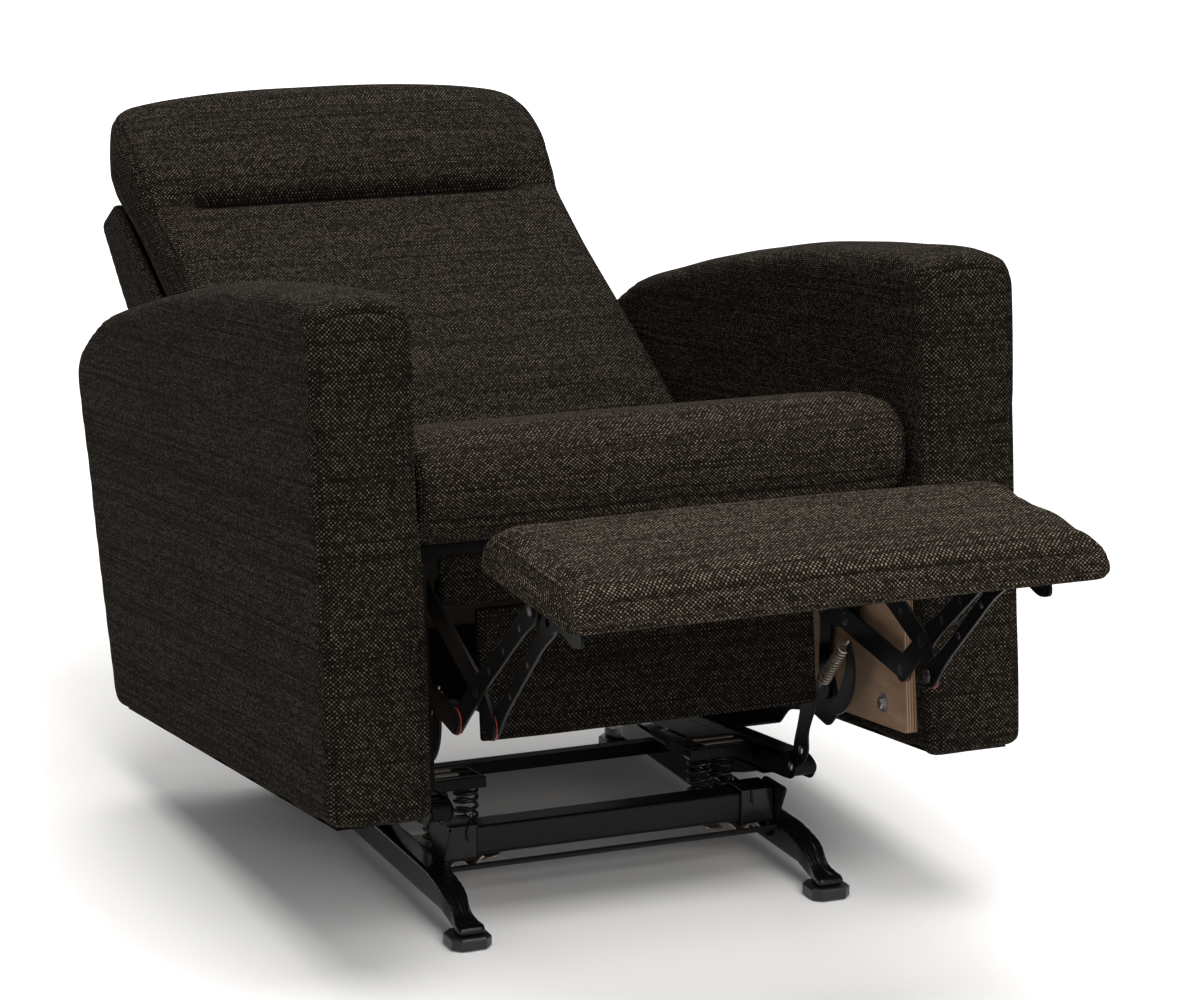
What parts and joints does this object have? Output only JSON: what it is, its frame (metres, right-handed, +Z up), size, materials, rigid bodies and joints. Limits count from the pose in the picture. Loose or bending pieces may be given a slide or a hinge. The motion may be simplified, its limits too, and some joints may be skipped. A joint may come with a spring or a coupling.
{
  "type": "recliner armchair",
  "caption": "Rocker recliner armchair with boxy upholstered arms, padded back laid down and footrest out on a folding steel linkage.",
  "frame": {"origin": "on the floor, at the middle of the chair's box with the footrest out and the back laid down", "axes": "+X towards the sitter's left, +Y towards the back of the chair, +Z up; the chair faces -Y"},
  "size_m": [0.8, 1.6206, 0.7589],
  "materials": {
    "fabric": "heathered tweed weave, near black brown with light flecks",
    "panel_fabric": "the same tweed pulled flat over a board",
    "black_steel": "gloss black paint on pressed steel",
    "zinc_steel": "zinc plated, slightly yellow",
    "spring_steel": "oiled dark spring wire",
    "plywood": "bare birch plywood with layered edges",
    "hardwood": "bare sawn frame timber",
    "glide_plastic": "black moulded plastic"
  },
  "bodies": {
    "base": {"base_rail_left": "black_steel", "base_rail_right": "black_steel", "front_foot_glide_left": "glide_plastic", "front_foot_glide_right": "glide_plastic", "rear_foot_glide_left": "glide_plastic", "rear_foot_glide_right": "glide_plastic", "base_front_tube": "black_steel", "tube_clasp_left": "black_steel", "tube_clasp_right": "black_steel", "base_front_rod": "black_steel", "base_rear_tube": "black_steel", "lower_spring_bracket_left": "zinc_steel", "lower_spring_bracket_right": "zinc_steel", "inner_coil_spring_left": "spring_steel", "inner_coil_spring_right": "spring_steel", "outer_coil_spring_left": "spring_steel", "outer_coil_spring_right": "spring_steel"},
    "chair_frame": {"rocker_cam_left": "black_steel", "rocker_cam_right": "black_steel", "side_rail_left": "black_steel", "side_rail_right": "black_steel", "upper_spring_bracket_left": "black_steel", "upper_spring_bracket_right": "black_steel", "mechanism_plate_left": "black_steel", "mechanism_plate_right": "black_steel", "mechanism_cross_tube": "black_steel", "arm_panel_left": "plywood", "arm_panel_right": "plywood", "arm_frame_left": "hardwood", "arm_frame_right": "hardwood", "arm_cover_left": "fabric", "arm_cover_right": "fabric", "front_panel": "panel_fabric", "rear_rail": "hardwood"},
    "front_swing_links": {"front_swing_link_left": "black_steel", "front_swing_link_right": "black_steel"},
    "rear_swing_links": {"rear_swing_link_left": "black_steel", "rear_swing_link_right": "black_steel"},
    "seat_frame": {"seat_side_plate_left": "black_steel", "seat_side_plate_right": "black_steel", "seat_front_rail": "panel_fabric", "seat_deck": "hardwood", "seat_cushion": "fabric"},
    "back": {"back_bracket_left": "black_steel", "back_bracket_right": "black_steel", "back_shell": "fabric", "back_cushion": "fabric"},
    "drive_links": {"drive_link_left": "black_steel", "drive_link_right": "black_steel"},
    "long_links": {"long_link_left": "black_steel", "long_link_right": "black_steel"},
    "upper_links": {"upper_link_left": "black_steel", "upper_link_right": "black_steel"},
    "rear_links": {"rear_link_left": "black_steel", "rear_link_right": "black_steel"},
    "ottoman": {"ottoman_bracket_left": "black_steel", "ottoman_bracket_right": "black_steel", "ottoman_board": "hardwood", "ottoman_pad": "fabric"}
  },
  "joints": [
    {"name": "rocker", "type": "hinge", "parent": "base", "child": "chair_frame", "pos_m": [0, -0.028, 0.0605], "axis": [1, 0, 0], "range_deg": [0, 12], "stiffness_Nm_per_rad": 600, "springref_deg": -4.58, "deforming": ["inner_coil_spring_left", "inner_coil_spring_right", "outer_coil_spring_left", "outer_coil_spring_right"]},
    {"name": "front_seat_swing", "type": "hinge", "parent": "chair_frame", "child": "front_swing_links", "pos_m": [0, -0.19799, 0.20086], "axis": [1, 0, 0], "range_deg": [-16, 0]},
    {"name": "rear_seat_swing", "type": "hinge", "parent": "chair_frame", "child": "rear_swing_links", "pos_m": [0, 0.06033, 0.17129], "axis": [1, 0, 0], "range_deg": [-16, 0]},
    {"name": "seat_on_swing", "type": "hinge", "parent": "front_swing_links", "child": "seat_frame", "pos_m": [0, -0.20043, 0.29583], "axis": [1, 0, 0], "range_deg": [0, 16]},
    {"name": "back_recline", "type": "hinge", "parent": "seat_frame", "child": "back", "pos_m": [0, 0.15163, 0.39737], "axis": [1, 0, 0], "range_deg": [0, 43]},
    {"name": "footrest_fold", "type": "hinge", "parent": "seat_frame", "child": "drive_links", "pos_m": [0, -0.30392, 0.39215], "axis": [1, 0, 0], "range_deg": [0, 101.9]},
    {"name": "long_link_cross", "type": "hinge", "parent": "drive_links", "child": "long_links", "pos_m": [0, -0.46327, 0.32785], "axis": [1, 0, 0], "range_deg": [-110.2, 0]},
    {"name": "ottoman_turn", "type": "hinge", "parent": "long_links", "child": "ottoman", "pos_m": [0, -0.619, 0.45338], "axis": [1, 0, 0], "range_deg": [0, 92.3]},
    {"name": "upper_link_heel", "type": "hinge", "parent": "drive_links", "child": "upper_links", "pos_m": [0, -0.49197, 0.29691], "axis": [1, 0, 0], "range_deg": [-97.1, 0]},
    {"name": "rear_link_turn", "type": "hinge", "parent": "seat_frame", "child": "rear_links", "pos_m": [0, -0.26525, 0.29914], "axis": [1, 0, 0], "range_deg": [0, 127.4]}
  ],
  "couplings": [
    {"joint": "front_seat_swing", "follows": "back_recline", "ratio": -0.3721},
    {"joint": "rear_seat_swing", "follows": "back_recline", "ratio": -0.3721},
    {"joint": "seat_on_swing", "follows": "back_recline", "ratio": 0.3721},
    {"joint": "long_link_cross", "follows": "footrest_fold", "ratio": -1.0805},
    {"joint": "ottoman_turn", "follows": "footrest_fold", "ratio": 0.9049},
    {"joint": "upper_link_heel", "follows": "footrest_fold", "ratio": -0.952},
    {"joint": "rear_link_turn", "follows": "footrest_fold", "ratio": 1.2495}
  ]
}
